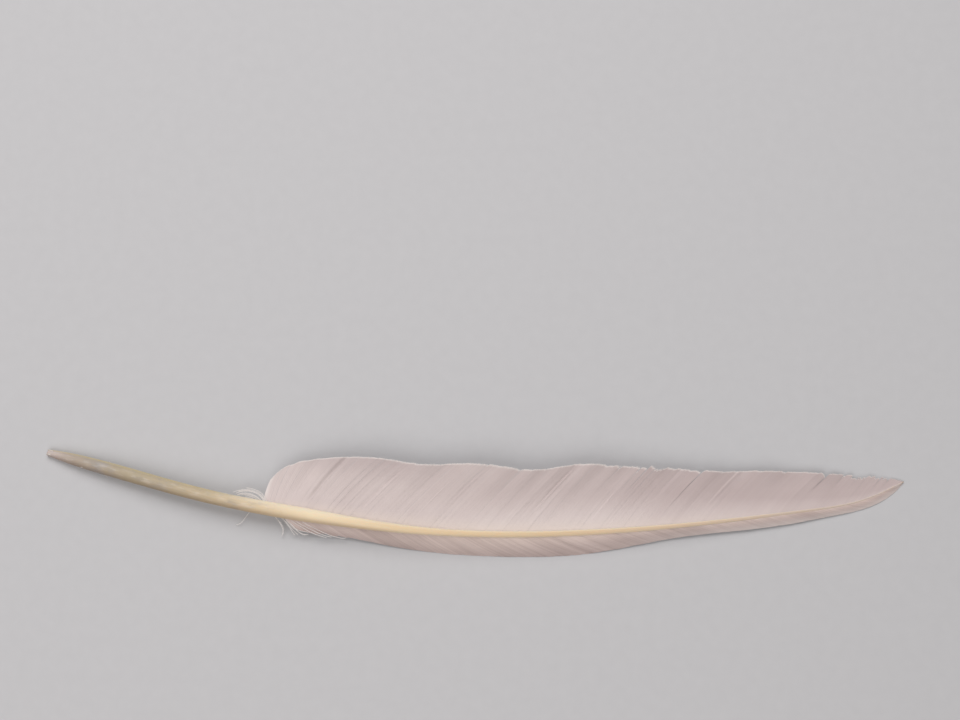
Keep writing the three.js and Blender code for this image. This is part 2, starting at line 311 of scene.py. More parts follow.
# %% Tears
TEAR_WIDTH = 1.4  # from its middle to its edge, along the margin
TEAR_GAP = 0.3  # how far each side of a tear leans away, as a share of its depth


def torn(vane, station):
    """How deep the margin is torn in at each station."""
    depth = 0 * station
    for at, deep in vane["tears"]:
        depth = depth + deep * np.clip(1 - abs(station - at) / TEAR_WIDTH, 0, 1)
    return depth


def parted(vane, tips):
    """How far the barbs with their tips at these stations lean away from the nearest tear."""
    lean = 0 * tips
    for at, deep in vane["tears"]:
        beside = (tips - at) / TEAR_WIDTH
        lean = lean + TEAR_GAP * deep * np.sign(beside) * np.exp(-abs(beside))
    return lean


# %% A barb's run
HALVINGS = 30
SHORTEST_BARB, LONGEST_BARB = 0.4, 80


def barb_run(vane, root, share, shorter):
    """Station, offset and length so far, a share of the way along the barbs with these roots, as arrays."""
    leave = np.radians(vane["leaves"](root))
    turn = np.radians(vane["arrives"](root)) - leave

    def run(v):
        return (np.sin(leave + turn * v) - np.sin(leave)) / turn

    def rise(v):
        return (np.cos(leave) - np.cos(leave + turn * v)) / turn

    short, long = 0 * root, 0 * root + LONGEST_BARB
    for _ in range(HALVINGS):
        middle = (short + long) / 2
        at = root + run(1) * middle
        inside = rise(1) * middle < vane["width"](at) - torn(vane, at)
        short, long = np.where(inside, middle, short), np.where(inside, long, middle)
    length = np.maximum(short - shorter, SHORTEST_BARB)
    return np.minimum(root + run(share) * length, LENGTH), rise(share) * length, share * length


# %% The sheet's height
# The vane joins the shaft this high over its centreline, in shares of its depth, and higher at the tip.
SEAT, TIP_SEAT_HIGHER = 0.2, 0.25
SEAT_RISES_FROM, SEAT_RISES_TO = 210, 295
FULL_WIDTH = 20  # a narrower vane dips less


def sheet_height(vane, station, out):
    """Height of the vane's upper face, a share of the way out to the margin."""
    seat = SEAT + TIP_SEAT_HIGHER * smoothstep(station, SEAT_RISES_FROM, SEAT_RISES_TO)
    at_shaft = arch(station) + seat * shaft_depth(station)
    lift = (vane["margin"](station) - at_shaft) * out ** vane["rise"]
    dip = vane["trough"] * np.minimum(1, vane["width"](station) / FULL_WIDTH)
    return at_shaft + lift - dip * np.sin(np.pi * out)


# %% [markdown]
# ## A guide for each vane
#
# The guide is a ribbon for each barb: two lines of points, its left and its right edge, and narrow faces
# between them. It is not shown. It says where each barb lies, which way is up there, and how wide the barb
# is, which changes along it because the barbs fan out. Barbs hold together in locks, and between two locks
# the vane is parted: the near side of a lock may stand a little over the lock before it, and its tips lean
# their own way. Inside a lock, bunches of a few barbs hold together more closely, and each bunch lies at its
# own height. Creases and soft ripples run along the barbs, because the vane folds easily between barbs and
# hardly at all across them.

# %% Locks
LOCK_SCATTER = 0.3  # how far the edge of a lock strays, in shares of a lock
LOCKS_CLOSER = 0.06  # how much the locks crowd together at both ends of the vane
SCATTER_START = 60  # from here the two vanes count in opposite directions


def scatter(n):
    """A fixed scatter between -1 and 1 for whole numbers."""
    wave = np.sin(n * 12.9898 + 4.137) * 43758.5453
    return 2 * (wave - np.floor(wave)) - 1


def lock_edges(vane):
    """The roots where one lock ends and the next begins."""
    lock = np.arange(vane["locks"] + 1)
    inner = (lock > 0) & (lock < vane["locks"])
    strays = inner * LOCK_SCATTER * scatter(lock * vane["side"] + SCATTER_START)
    share = (lock + strays) / vane["locks"]
    crowded = share - LOCKS_CLOSER * np.sin(2 * np.pi * share)
    return vane["first"] + (vane["last"] - vane["first"]) * crowded


# %% Creases and ripples
# Each crease: the root station of the barb it runs along, the share of the barb where it starts and ends,
# its height and its width, in mm. A negative height stands up on the near side.
BROAD_CREASES = [
    (91.6, 0.35, 1.0, 0.8, 2.2),
    (94.9, 0.25, 1.0, -0.3, 0.8),
    (114, 0.25, 0.78, 0.22, 0.7),
    (133.5, 0.35, 0.6, 0.1, 0.5),
    (141, 0.45, 0.85, 0.12, 0.6),
    (174.8, 0.4, 0.85, 0.24, 0.6),
    (199.4, 0.3, 0.55, 0.12, 0.5),
    (218, 0.5, 1.0, 0.12, 1.2),
    (240, 0.45, 1.0, 0.15, 1.0),
]
# Each run of ripples: first and last station, wave length, height and phase.
BROAD_RIPPLES = [
    (140, 205, 10.5, 0.2, 0.3),
    (84, 150, 17, 0.17, 1.4),
    (165, 300, 23, 0.34, 2.1),
    (230, 318, 8.5, 0.06, 0.9),
]
NARROW_RIPPLES = [(110, 300, 19, 0.06, 0.5)]
print(len(BROAD_CREASES), "creases,", len(BROAD_RIPPLES + NARROW_RIPPLES), "runs of ripples")

# %% Heights of creases and ripples
# Where a crease comes and goes, in shares of the barb from its start and from its end.
CREASE_COMES, CREASE_GOES = (-0.15, 0.1), (-0.05, 0.12)
RIPPLE_FADE = 15
RIPPLE_POWER = 1.3  # ripples are lower near the shaft


def creased(creases, root, share):
    """Height that the creases add: up on one side of the line and down on the other."""
    total = 0 * (root * share)
    for at, start, end, high, wide in creases:
        beside = (root - at) / wide
        fade = smoothstep(share, start + CREASE_COMES[0], start + CREASE_COMES[1])
        fade = fade * (1 - smoothstep(share, end + CREASE_GOES[0], end + CREASE_GOES[1]))
        total = total + high * beside * np.exp(0.5 - beside**2) * fade
    return total


def rippled(ripples, root, share):
    """Height that the ripples add: waves from barb to barb, which grow towards the margin."""
    total = 0 * (root * share)
    for start, end, wave, high, phase in ripples:
        here = smoothstep(root, start, start + RIPPLE_FADE) * (1 - smoothstep(root, end - RIPPLE_FADE, end))
        total = total + high * here * share**RIPPLE_POWER * np.sin(2 * np.pi * root / wave + phase)
    return total


# %% How the barbs differ
BARBS_STUCK = 4  # barbs in a bunch, on average
ROOT_STRAY, TIP_STRAY = 0.06, 0.03  # how far barbs stray from their even places
ROOMY_WIDTH = 8  # where the vane is narrower, ragged ends, laps and creases are smaller
# How much shorter than the margin barbs end: each for itself, with its bunch, at a lock's edges, and broken.
OWN_SHORT, BUNCH_SHORT, LOCK_SHORT, BROKEN_SHORT = 0.12, 0.3, 0.28, 0.4
BROKEN_RARITY = 12
HIGHEST_LAP, HIGH_LAP_RARITY = 4, 8  # few locks stand much over the one before
BUNCH_LAP = 0.5  # how far the heights of bunches stray, in laps
LOCK_SHADE, BUNCH_SHADE, BARB_SHADE = 0.3, 0.3, 0.4  # the parts of a barb's shade
LAP_FROM, LAP_TO = 0.02, 0.5  # the shares of a barb between which it rises to its own height
SHEET_THICKNESS = 0.5  # of the solid's vanes
SINK, SINK_OUTWARDS = 0.1, 0.75  # barbs lie near its top at the shaft and near its underside at the margin
BARBS_OVER_TABLE = 0.12
BEYOND_TIP = 0.2  # how far a leaning barb may pass the shaft's tip
POINT_FROM = 0.985  # the share of a barb where its point begins


def worn(vane, root):
    """How many times raggeder than elsewhere the margin is, for the barbs with these roots."""
    extra = 0 * root
    for at, wide, more in vane["worn"]:
        extra = extra + more * smoothstep(root, at - wide, at) * smoothstep(-root, -at - wide, -at)
    return 1 + extra


def row_shares(rows):
    """Shares along a barb, from 0 at the shaft to 1 at its tip. The last stretch is its short point."""
    return np.append(np.linspace(0, 1, rows - 1) * POINT_FROM, 1.0)


# %% Guides
def make_guide(name, vane, barbs, rows, creases, ripples, lap, lean, seed):
    """The guide of one vane: ribbons of points, with each barb's shade and the way from its root in mm."""
    rng = np.random.default_rng(seed)
    # The barbs' roots, and where in its lock each barb is.
    edges = lock_edges(vane)
    middle = np.linspace(vane["first"], vane["last"], barbs) + rng.uniform(-ROOT_STRAY, ROOT_STRAY, barbs)
    half = (vane["last"] - vane["first"]) / (barbs - 1) / 2
    lock = np.clip(np.searchsorted(edges, middle) - 1, 0, vane["locks"] - 1)
    in_lock = (middle - edges[lock]) / (edges[lock + 1] - edges[lock])
    size = np.minimum(1, vane["width"](middle) / ROOMY_WIDTH)

    # The bunch of each barb, how short it ends, how far it leans, how high it lies and its shade.
    bunch = np.cumsum(rng.random(barbs) < 1 / BARBS_STUCK)
    ragged = rng.uniform(0, OWN_SHORT, barbs) + BUNCH_SHORT * rng.random(barbs)[bunch] ** 2
    ragged += BROKEN_SHORT * rng.random(barbs) ** BROKEN_RARITY
    ragged += LOCK_SHORT * np.abs(2 * in_lock - 1) ** 3 * rng.uniform(0.2, 1, vane["locks"])[lock]
    ragged *= size * worn(vane, middle)
    leaning = lean * np.interp(middle, (edges[1:] + edges[:-1]) / 2, rng.uniform(-1, 1, vane["locks"])) * size
    wander = TIP_STRAY * rng.normal(size=barbs)
    lock_lap = HIGHEST_LAP * rng.random(vane["locks"]) ** HIGH_LAP_RARITY
    lapped = lap * (0.5 - in_lock) * lock_lap[lock] * size
    lapped += BUNCH_LAP * lap * rng.normal(size=barbs)[bunch] * size
    shade = LOCK_SHADE * rng.random(vane["locks"])[lock] + BUNCH_SHADE * rng.random(barbs)[bunch]
    shade += BARB_SHADE * rng.random(barbs)

    # The points, in arrays of barbs by the two edges of a ribbon by its rows.
    share = row_shares(rows)[None, None, :]
    root = (middle[:, None] + half * np.array([-1, 1]))[:, :, None]

    def each(value):
        return value[:, None, None]

    station, offset, reach = barb_run(vane, root, share, each(ragged))
    out = np.clip(offset / vane["width"](station), 0, 1)
    height = sheet_height(vane, station, out) - SHEET_THICKNESS * (SINK + SINK_OUTWARDS * out)
    height = height + each(lapped) * smoothstep(share, LAP_FROM, LAP_TO)
    height = height + (creased(creases, root, share) + rippled(ripples, root, share)) * each(size)
    height = np.maximum(height, BARBS_OVER_TABLE)
    tips = station[:, :, -1:].mean(1, keepdims=True)
    station = station + (each(leaning + wander) + parted(vane, tips)) * share**2
    points = beside_shaft(np.minimum(station, LENGTH + BEYOND_TIP), vane["side"] * offset, height)

    faces = []
    for barb in range(barbs):
        left = 2 * barb * rows
        for row in range(rows - 1):
            quad = [left + row, left + rows + row, left + rows + row + 1, left + row + 1]
            faces.append(quad if vane["side"] > 0 else quad[::-1])
    guide = new_piece(name, points, faces)
    for attribute, values in {"shade": np.repeat(shade, 2 * rows), "reach": reach}.items():
        made = guide.data.attributes.new(attribute, "FLOAT", "POINT")
        made.data.foreach_set("value", values.astype(np.float32).ravel())
    return guide


# %% [markdown]
# ## One barb, drawn once
#
# A barb is a blade: a ridge along its upper side, a deeper keel below, and a thin web to the left and right,
# which on the real feather is made of the barbules that hook into the next barb. Its cross-section has six
# corners. The barb is drawn straight, one unit long, and its X says how far along each row of corners is.

# %% The barb's mesh
#            across, up: across in shares of the ribbon's width, up in shares of the ridge's height
BARB_SECTION = [(-0.5, 0.0), (-0.14, 0.16), (0.0, 1.0), (0.14, 0.16), (0.5, 0.0), (0.0, -1.1)]
BARB_RIMS = (0, 4)  # the corners at the web's two edges
BARB_TIP_WIDTH = 0.35


def barb_blank(name, rows):
    """One straight barb, as a closed mesh that isn't in the scene."""
    points, faces = [], []
    sides = len(BARB_SECTION)
    for row in range(rows):
        slim = BARB_TIP_WIDTH if row == rows - 1 else 1
        points += [(row / (rows - 1), across * slim, up * slim) for across, up in BARB_SECTION]
    for row in range(rows - 1):
        for side in range(sides):
            a, b = row * sides + side, row * sides + (side + 1) % sides
            faces.append((a, b, b + sides, a + sides))
    faces.append(tuple(range(sides))[::-1])
    faces.append(tuple(range((rows - 1) * sides, rows * sides)))
    mesh = bpy.data.meshes.new(name)
    mesh.from_pydata(points, [], faces)
    # Smooth shading would round a thin web into a rope, so its edges are marked as sharp.
    for edge in mesh.edges:
        a, b = (corner % sides for corner in edge.vertices)
        edge.use_edge_sharp = a == b and a in BARB_RIMS
    return bpy.data.objects.new(name, mesh)


# %% [markdown]
# ## From one barb to a vane
#
# Geometry Nodes put a copy of the barb on every ribbon. The copies all start at the same place. A vertex
# knows the number of its barb and, from its X, its row, and with these it looks up two points of the guide,
# the left and the right edge of its ribbon. It goes between the two, and up along the guide's normal.


# %% What every group needs
def new_group(name, inputs, output):
    """A Geometry Nodes group, its tree, and a function that gives the input with a name."""
    group = bpy.data.node_groups.new(name, "GeometryNodeTree")
    for socket, kind in inputs.items():
        group.interface.new_socket(socket, in_out="INPUT", socket_type="NodeSocket" + kind)
    group.interface.new_socket(output, in_out="OUTPUT", socket_type="NodeSocketGeometry")
    tree = Tree(group)
    asked = tree.node("NodeGroupInput")
    return group, tree, lambda wanted: tree.other(asked, wanted)


def end_group(tree, geometry, material, output):
    """Smooth shading, real geometry in place of instances, the material, and the output."""
    soft = tree.node("GeometryNodeSetShadeSmooth", {}, {"Geometry": geometry, "Shade Smooth": True})
    real = tree.node("GeometryNodeRealizeInstances", {}, {"Geometry": soft})
    done = tree.node("GeometryNodeSetMaterial", {}, {"Geometry": real, "Material": material})
    tree.node("NodeGroupOutput", {}, {output: done})


def chance(tree, low, high, each, seed):
    """A random number between low and high, a fixed one for each whole number."""
    inputs = {2: low, 3: high, "ID": each, "Seed": seed}
    return tree.node("FunctionNodeRandomValue", {"data_type": "FLOAT"}, inputs, output=1)


# %% The barb tree
RIDGE_TAPER = 0.45  # how much lower the ridge is at the tip
RIDGE_CHANCE = 0.35  # how much the barbs' ridges differ


def barb_tree():
    inputs = {"Guide": "Geometry", "Barb": "Object", "Barbs": "Int", "Rows": "Int", "Overlap": "Float"}
    inputs |= {"Ridge": "Float", "Unevenness": "Float", "Seed": "Int", "Turned": "Bool", "Finish": "Material"}
    group, tree, ask = new_group("barbs on a guide", inputs, "Vane")

    def named(name, kind):
        return tree.node("GeometryNodeInputNamedAttribute", {"data_type": kind}, {"Name": name})

    def store(geometry, name, kind, domain, value):
        settings = {"data_type": kind, "domain": domain}
        inputs = {"Geometry": geometry, "Name": name, "Value": value}
        return tree.node("GeometryNodeStoreNamedAttribute", settings, inputs)

    blank = tree.node("GeometryNodeObjectInfo", {}, {"Object": ask("Barb")}, output="Geometry")
    starts = tree.node("GeometryNodePoints", {}, {"Count": ask("Barbs")})
    copies = tree.node("GeometryNodeInstanceOnPoints", {}, {"Points": starts, "Instance": blank})
    numbered = store(copies, "barb", "INT", "INSTANCE", tree.node("GeometryNodeInputIndex"))
    made = tree.node("GeometryNodeRealizeInstances", {}, {"Geometry": numbered})

    place = tree.node("ShaderNodeSeparateXYZ", {}, {0: tree.node("GeometryNodeInputPosition")})
    along, across, up = (tree.other(place, axis) for axis in "XYZ")
    barb = named("barb", "INT")
    uv = tree.node("ShaderNodeCombineXYZ", {}, {"X": (barb + across + 0.5) / ask("Barbs"), "Y": along})
    made = store(made, "UVMap", "FLOAT2", "CORNER", uv)
    made = store(made, "along", "FLOAT", "POINT", along)
    made = store(made, "across", "FLOAT", "POINT", across)

    row = (along * (ask("Rows") - 1)).math("ROUND")
    left = barb * 2 * ask("Rows") + row

    def look_up(what, kind, index):
        settings = {"data_type": kind, "domain": "POINT"}
        inputs = {"Geometry": ask("Guide"), "Value": what, "Index": index}
        return tree.node("GeometryNodeSampleIndex", settings, inputs)

    def between(what, share, clamped):
        settings = {"data_type": "VECTOR", "clamp_factor": clamped}
        pair = [look_up(what, "FLOAT_VECTOR", index) for index in (left, left + ask("Rows"))]
        return tree.node("ShaderNodeMix", settings, {0: share, 4: pair[0], 5: pair[1]}, output=1)

    lay = between(tree.node("GeometryNodeInputPosition"), across * ask("Overlap") + 0.5, False)
    normal = between(tree.node("GeometryNodeInputNormal"), across + 0.5, True)
    luck = chance(tree, -1.0, 1.0, barb, ask("Seed"))
    slim = 1 - along * RIDGE_TAPER
    height = up * ask("Ridge") * slim * (1 + RIDGE_CHANCE * luck) + luck * ask("Unevenness") * along
    raised = tree.node("ShaderNodeVectorMath", {"operation": "SCALE"}, {0: normal, "Scale": height})
    landed = tree.node("ShaderNodeVectorMath", {"operation": "ADD"}, {0: lay, 1: raised})
    for name in ("shade", "reach"):
        made = store(made, name, "FLOAT", "POINT", look_up(named(name, "FLOAT"), "FLOAT", left))
    made = tree.node("GeometryNodeSetPosition", {}, {"Geometry": made, "Position": landed})
    turned = tree.node("GeometryNodeFlipFaces", {}, {"Mesh": made, "Selection": ask("Turned")})
    end_group(tree, turned, ask("Finish"), "Vane")
    return group


# %% Running a tree
def grow(name, guide, group, values):
    """Runs a Geometry Nodes tree on an object and keeps the result as a plain mesh, under a new name."""
    modifier = guide.modifiers.new("grow", "NODES")
    modifier.node_group = group
    known = {item.name: item.identifier for item in group.interface.items_tree if item.item_type == "SOCKET"}
    for socket, value in values.items():
        modifier[known[socket]] = value
    evaluated = guide.evaluated_get(bpy.context.evaluated_depsgraph_get())
    mesh = bpy.data.meshes.new_from_object(evaluated)
    mesh.name = name
    bpy.data.objects.remove(guide)
    mesh.calc_loop_triangles()
    print(name, len(mesh.loop_triangles), "triangles")
    return new_object(name, mesh)


# %% [markdown]
# ## The vane's finish
#
# Keratin without pigment is white, and a goose's white is a little pink and grey where it is thin and dusty.
# Its outer part and both ends are darker, partly for the thinner keratin and partly as painted shade. Near
# the shaft it is warmer, and on the narrow vane also lighter, as painted light where the shaft's shadow
# falls. On the broad vane a painted highlight makes the loose ends along the margin paler. On the narrow one
# they are pinker, and towards its tip painted light makes it paler. The barbs differ slightly from each
# other, and whole locks differ too. From close by, each barb's web is a comb of barbules, which slant out and
# towards the tip. They are too fine to be meshed, so they are a sine wave of the way along the barb, and a
# bump. Barbs are silky rather than shiny: the shader has a broad highlight and some sheen.


# %% Materials as trees
def new_material(name):
    material = bpy.data.materials.new(name)
    material.use_nodes = True
    material.node_tree.nodes.clear()
    return material, Tree(material.node_tree)


def finish(tree, **inputs):
    """Ends a material in a Principled shader with these inputs, by the names of its sockets."""
    wanted = {name.replace("_", " "): value for name, value in inputs.items()}
    shader = tree.node("ShaderNodeBsdfPrincipled", {}, wanted)
    tree.node("ShaderNodeOutputMaterial", {}, {"Surface": shader})


def mottled(name, scale, dark, light, space="Object", **inputs):
    """A finish of two colours in small soft patches, with these inputs of the shader."""
    material, tree = new_material(name)
    where = tree.node("ShaderNodeTexCoord", output=space)
    finish(tree, Base_Color=tree.mix(tree.noise(where, scale, 2.0), dark, light), **inputs)
    return material


# %% Vane material
BARBULE_PITCH = 0.14  # mm
BARBULE_SLANT = 1.3  # how many pitches a barbule gains from the ridge to the web's edge
BARBULE_HEIGHT = 0.03 * MM
FINE_GRAIN = (900.0, 60.0, 1.0)  # patches across the whole vane and along each barb
# This white is also the painted highlight on the broad vane's margin and the painted light at the narrow
# vane's tip.
RIM_WHITE = (0.86, 0.81, 0.78)
MARGIN_SHADE = (0.84, 0.82, 0.83)  # multiplies the colour


def vane_material(name, clean, dull, thin_and_shaded_tint, warm_and_lit_foot, rim, streaks, dusk, painted_tip_light):
    """The finish of one vane: its clean and its dull white, the tint that multiplies them on its outer part
    for thinner keratin and painted shade, its warmer foot at the shaft with any painted light there, the
    colour of its barbs' loose ends, how much the barbs differ, where the darker stretch of its margin ends,
    and how much painted light it has towards the tip."""
    material, tree = new_material(name)

    def attribute(name):
        return tree.node("ShaderNodeAttribute", {"attribute_name": name}, output="Fac")

    # Where a point is: along its barb, across it, and along the whole feather.
    along, across = attribute("along"), attribute("across")
    where = tree.node("ShaderNodeTexCoord", output="Object")
    station = tree.node("ShaderNodeSeparateXYZ", {}, {0: where}) / (LENGTH * MM) - quill_end[0] / LENGTH
    uv = tree.node("ShaderNodeUVMap", {"uv_map": "UVMap"})
    side = across.math("ABSOLUTE")

    # Cleaner and duller barbs, soft clouds over all of them, and the barbules.
    cloud = tree.noise(where, 34.0, 3.0, roughness=0.55)
    waves = attribute("reach") / BARBULE_PITCH - side * (2 * BARBULE_SLANT)
    barbules = (waves * math.tau).math("SINE")
    tone = (attribute("shade") - 0.5) * streaks + (cloud - 0.5) * 0.85 + barbules * 0.035 + 0.5
    colour = tree.mix(tone.step(0.0, 1.0), dull, clean)

    # Darker on its outer part from the middle to the tip, and all across towards both ends: partly thinner
    # keratin, partly painted shade. Towards the narrow vane's tip, painted light takes some of it away.
    thinner_and_shaded = along.step(0.08, 0.62) * station.step(0.3, 0.68) * 0.8
    thinner_and_shaded = thinner_and_shaded + station.step(0.6, 0.95) * (0.65 - painted_tip_light) + station.step(0.5, 0.3) * 0.35
    colour = tree.mix(thinner_and_shaded.math("MINIMUM", 1.0), colour, thin_and_shaded_tint, "MULTIPLY")

    # Warm at the shaft, and on the narrow vane lighter there too, as painted light where the shaft's shadow
    # falls. Darker along a stretch of the margin. Towards the narrow vane's tip, painted light makes it
    # paler.
    colour = tree.mix(along.step(0.25, 0.0) * station.step(0.95, 0.55) * 0.6, colour, warm_and_lit_foot)
    shaded = along.step(0.5, 0.95) * station.step(0.28, 0.34) * station.step(dusk, dusk - 0.1)
    colour = tree.mix(shaded, colour, MARGIN_SHADE, "MULTIPLY")
    colour = tree.mix(along.step(0.2, 1.0) * station.step(0.62, 0.85) * painted_tip_light, colour, RIM_WHITE)

    # White on each barb's ridge and on the first few barbs. On the barbs' loose ends the rim's colour: on the
    # broad vane a painted highlight where the margin catches the light, on the narrow vane a pinker tint.
    first = tree.node("ShaderNodeSeparateXYZ", {}, {0: uv}).step(0.006, 0.001) * 0.45
    colour = tree.mix(side.step(0.2, 0.04) * 0.12 + first, colour, RIM_WHITE)
    colour = tree.mix(along.step(0.93, 0.975) * 0.85, colour, rim)

    stretch = tree.node("ShaderNodeMapping", {}, {"Vector": uv, "Scale": FINE_GRAIN})
    fine = tree.noise(stretch, 1.0, 2.0)
    relief = {"Strength": 0.35, "Distance": BARBULE_HEIGHT, "Height": barbules * 0.5 + fine}
    finish(
        tree,
        Base_Color=colour,
        Roughness=0.62 + (fine - 0.5) * 0.2,
        Normal=tree.node("ShaderNodeBump", {}, relief),
        Sheen_Weight=0.25,
        Sheen_Roughness=0.4,
        Specular_IOR_Level=0.35,
    )
    return material


broad_finish = vane_material(
    "broad_keratin",
    clean=(0.75, 0.665, 0.645),
    dull=(0.63, 0.54, 0.525),
    thin_and_shaded_tint=(0.785, 0.745, 0.755),
    warm_and_lit_foot=(0.76, 0.66, 0.585),
    rim=RIM_WHITE,
    streaks=0.3,
    dusk=0.5,
    painted_tip_light=0.0,
)
narrow_finish = vane_material(
    "narrow_keratin",
    clean=(0.88, 0.735, 0.675),
    dull=(0.66, 0.53, 0.485),
    thin_and_shaded_tint=(0.755, 0.735, 0.76),
    warm_and_lit_foot=(0.94, 0.81, 0.70),
    rim=(0.76, 0.60, 0.60),
    streaks=0.9,
    dusk=0.68,
    painted_tip_light=0.5,
)
print("vane finishes:", broad_finish.name, narrow_finish.name)

# %% [markdown]
# ## Growing both vanes
#
# The broad vane's barbs are long and slightly bent; the narrow vane's lie almost along the shaft. Both use
# the same tree with other numbers.

# %% Vanes
BARB_OVERLAP = 1.12  # a web's width, in shares of its ribbon's
BARB_RIDGE, BARB_UNEVENNESS = 0.075 * MM, 0.013 * MM
barbs_on_guide = barb_tree()


def grow_vane(name, vane, finished, barbs, rows, creases, ripples, lap, lean, seed):
    guide = make_guide(name + "_guide", vane, barbs, rows, creases, ripples, lap, lean, seed)
    blank = barb_blank(name + "_barb", rows)
    values = {
        "Barb": blank,
        "Barbs": barbs,
        "Rows": rows,
        "Overlap": BARB_OVERLAP,
        "Ridge": BARB_RIDGE,
        "Unevenness": BARB_UNEVENNESS,
        "Seed": seed,
        "Turned": vane["side"] < 0,
        "Finish": finished,
    }
    piece = grow(name, guide, barbs_on_guide, values)
    bpy.data.objects.remove(blank)
    return piece


broad_vane = grow_vane(
    "broad_vane",
    BROAD,
    broad_finish,
    barbs=540,
    rows=23,
    creases=BROAD_CREASES,
    ripples=BROAD_RIPPLES,
    lap=0.045,
    lean=0.25,
    seed=11,
)
narrow_vane = grow_vane(
    "narrow_vane",
    NARROW,
    narrow_finish,
    barbs=470,
    rows=12,
    creases=[],
    ripples=NARROW_RIPPLES,
    lap=0.06,
    lean=0.35,
    seed=23,
)

# %% [markdown]
# ## The shaft
#
# The quill is a tube of clear horn, round and smooth. Where the vanes begin it turns into the rachis, which
# is squarer, filled with white pith, and grooved along its underside. It is lofted: one ring of corners at
# each station, joined to the next. The rings are closer together towards the quill's end, where the shape
# changes most.

# %% Shaft sizes
SHAFT_SIDES = 32
SHAFT_RINGS = 260
CLOSER_TO_QUILL_END = 1.12
SQUARE_FROM, SQUARE_TO = 85, 140
SQUARENESS = 0.3
GROOVE_FROM, GROOVE_TO = 100, 290
GROOVE_FADE = 25
GROOVE_DEPTH = 0.16  # in shares of the shaft's depth
GROOVE_WIDTH = 0.25  # in shares of the shaft's width
PIT_SHARE = 0.55  # the pit's radius in shares of the end's
PIT_DEPTH = 2.2
LIP_SHARE = 0.9
SHAFT_OVER_TABLE = 0.02
# The horn is not quite round. Soft flats: how many go round it, how far they swell, and their turn in a mm.
FLATS = [(7, 0.004, 0.05), (13, 0.003, -0.11)]
around = 2 * np.pi * (np.arange(SHAFT_SIDES) + 0.5) / SHAFT_SIDES


# %% Rings and lofts
def shaft_ring(station):
    """The ring's points, counter-clockwise as seen from the tip."""
    c, s = np.cos(around), np.sin(around)
    power = 1 - SQUARENESS * smoothstep(station, SQUARE_FROM, SQUARE_TO)
    wide, deep = shaft_width(station) / 2, shaft_depth(station) / 2
    groove = smoothstep(station, GROOVE_FROM, GROOVE_FROM + GROOVE_FADE)
    groove = groove * (1 - smoothstep(station, GROOVE_TO - GROOVE_FADE, GROOVE_TO))
    groove = 2 * deep * GROOVE_DEPTH * groove * np.exp(-((c / GROOVE_WIDTH) ** 2)) * (s < 0)
    flats = sum(high * np.sin(count * around + station * turn) for count, high, turn in FLATS)
    swell = 1 + flats * smoothstep(station, 0, 10) * (1 - 0.6 * smoothstep(station, 80, 130))
    across = wide * swell * np.sign(c) * abs(c) ** power
    up = deep * swell * np.sign(s) * abs(s) ** power + groove
    return beside_shaft(station, across, np.maximum(arch(station) + up, SHAFT_OVER_TABLE))


def lofted(name, *lofts):
    """Closed surfaces in one mesh, each from rings of points whose first and last ring are filled."""
    faces, first = [], 0
    for rings in lofts:
        sides = len(rings[0])
        for ring in range(len(rings) - 1):
            for side in range(sides):
                a, b = (first + ring * sides + turn % sides for turn in (side, side + 1))
                faces.append((a, b, b + sides, a + sides))
        faces.append(tuple(range(first, first + sides))[::-1])
        first += len(rings) * sides
        faces.append(tuple(range(first - sides, first)))
    return new_piece(name, np.concatenate([np.concatenate(rings) for rings in lofts]), faces)


# %% Shaft mesh
# The first rings lead from the bottom of the pit out over its lip. Each: its share of the pit's radius, and
# how far in from the end it lies.
PIT_RINGS = [(0.12, PIT_DEPTH), (0.75, 0.6 * PIT_DEPTH), (1.0, 0.15)]
stations = LENGTH * np.linspace(0, 1, SHAFT_RINGS) ** CLOSER_TO_QUILL_END
mouth = shaft_ring(0.0)
centre = mouth.mean(0)
rings = []
for share, deep in PIT_RINGS:
    rings.append(centre + (mouth - centre) * PIT_SHARE * share + beside_shaft(deep, 0, 0) * [1, 1, 0])
rings.append(centre + (mouth - centre) * LIP_SHARE)
rings += [shaft_ring(station) for station in stations]
shaft = lofted("shaft", rings)
shaft.data.shade_smooth()

# The finish needs to know where it is on the shaft: its station as a share of the length, and the cosine and
# sine of the angle round it.
ring_stations = np.append(np.zeros(len(PIT_RINGS) + 1), stations / LENGTH)
wrap = [(station, math.cos(angle), math.sin(angle)) for station in ring_stations for angle in around]
shaft.data.attributes.new("wrap", "FLOAT_VECTOR", "POINT").data.foreach_set("vector", np.ravel(wrap))
print("shaft:", len(rings), "rings of", SHAFT_SIDES, "corners")


# %% [markdown]
# ## The shaft's finish
#
# Horn is clear and yellowish. In the quill there is only dry membrane behind it, so its crown looks clouded
# with grey and white, with darker bars where the membrane is folded. Its upper side is painted lighter and
# olive, partly as painted light from behind, and its lower side darker, as painted shade. Along the rachis
# the pith behind it makes it a warm cream. Its upper flank has a painted highlight, and its lower flank is
# painted paler, as light where its shade would be. It fades into the vane at the tip. The horn is waxy: light
# gets in a little and comes out beside.

# %% Shaft colours
SHAFT_COLOURS = [
    (0.0, (0.56, 0.48, 0.46)),
    (0.03, (0.42, 0.35, 0.29)),
    (0.10, (0.43, 0.36, 0.25)),
    (0.19, (0.53, 0.43, 0.285)),
    (0.25, (0.72, 0.58, 0.39)),
    (0.31, (0.85, 0.71, 0.50)),
    (0.41, (0.77, 0.60, 0.39)),
    (0.60, (0.70, 0.53, 0.34)),
    (0.75, (0.66, 0.51, 0.37)),
    (0.86, (0.60, 0.48, 0.39)),
    (1.0, (0.60, 0.50, 0.46)),
]
DARK, HALF, LIT = ((value,) * 3 for value in (0.0, 0.5, 1.0))
